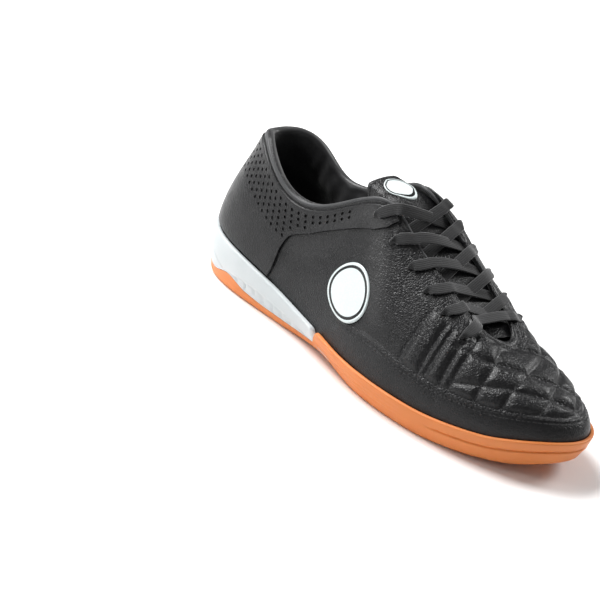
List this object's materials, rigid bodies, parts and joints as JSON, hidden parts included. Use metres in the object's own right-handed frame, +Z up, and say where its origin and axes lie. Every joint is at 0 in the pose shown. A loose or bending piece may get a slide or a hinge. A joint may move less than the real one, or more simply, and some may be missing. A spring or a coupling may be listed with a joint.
{
  "type": "indoor soccer shoe",
  "caption": "Low black leather indoor soccer shoe with flat laces over a padded tongue, white foam heel wedge and flat gum rubber cup sole.",
  "frame": {"origin": "on the floor, in the middle of the shoe's bounding box", "axes": "+X from heel to toe, +Y towards the inner (medial) side of the foot, +Z up"},
  "size_m": [0.286, 0.1032, 0.1084],
  "materials": {
    "outsole": "satin gum rubber",
    "midsole": "matte moulded foam",
    "insole": "matte textile",
    "upper": "pebbled leather, soft sheen",
    "patch": "satin",
    "insert": "satin",
    "lace": "flat woven lace"
  },
  "bodies": {
    "root": {"outsole": "outsole", "midsole": "midsole", "insole": "insole", "upper": "upper", "heel_panel": "upper", "tongue": "upper", "side_patch_outer": "patch", "tongue_patch": "patch", "pivot_disc": "insert", "flex_bar": "insert", "arch_wedge": "insert", "side_wedge": "insert", "toe_window_1": "insert", "toe_window_2": "insert", "toe_window_3": "insert", "toe_window_4": "insert", "lace_cross_1": "lace", "lace_cross_2": "lace", "lace_cross_3": "lace", "lace_cross_4": "lace", "lace_cross_5": "lace", "lace_bar": "lace"}
  },
  "joints": []
}
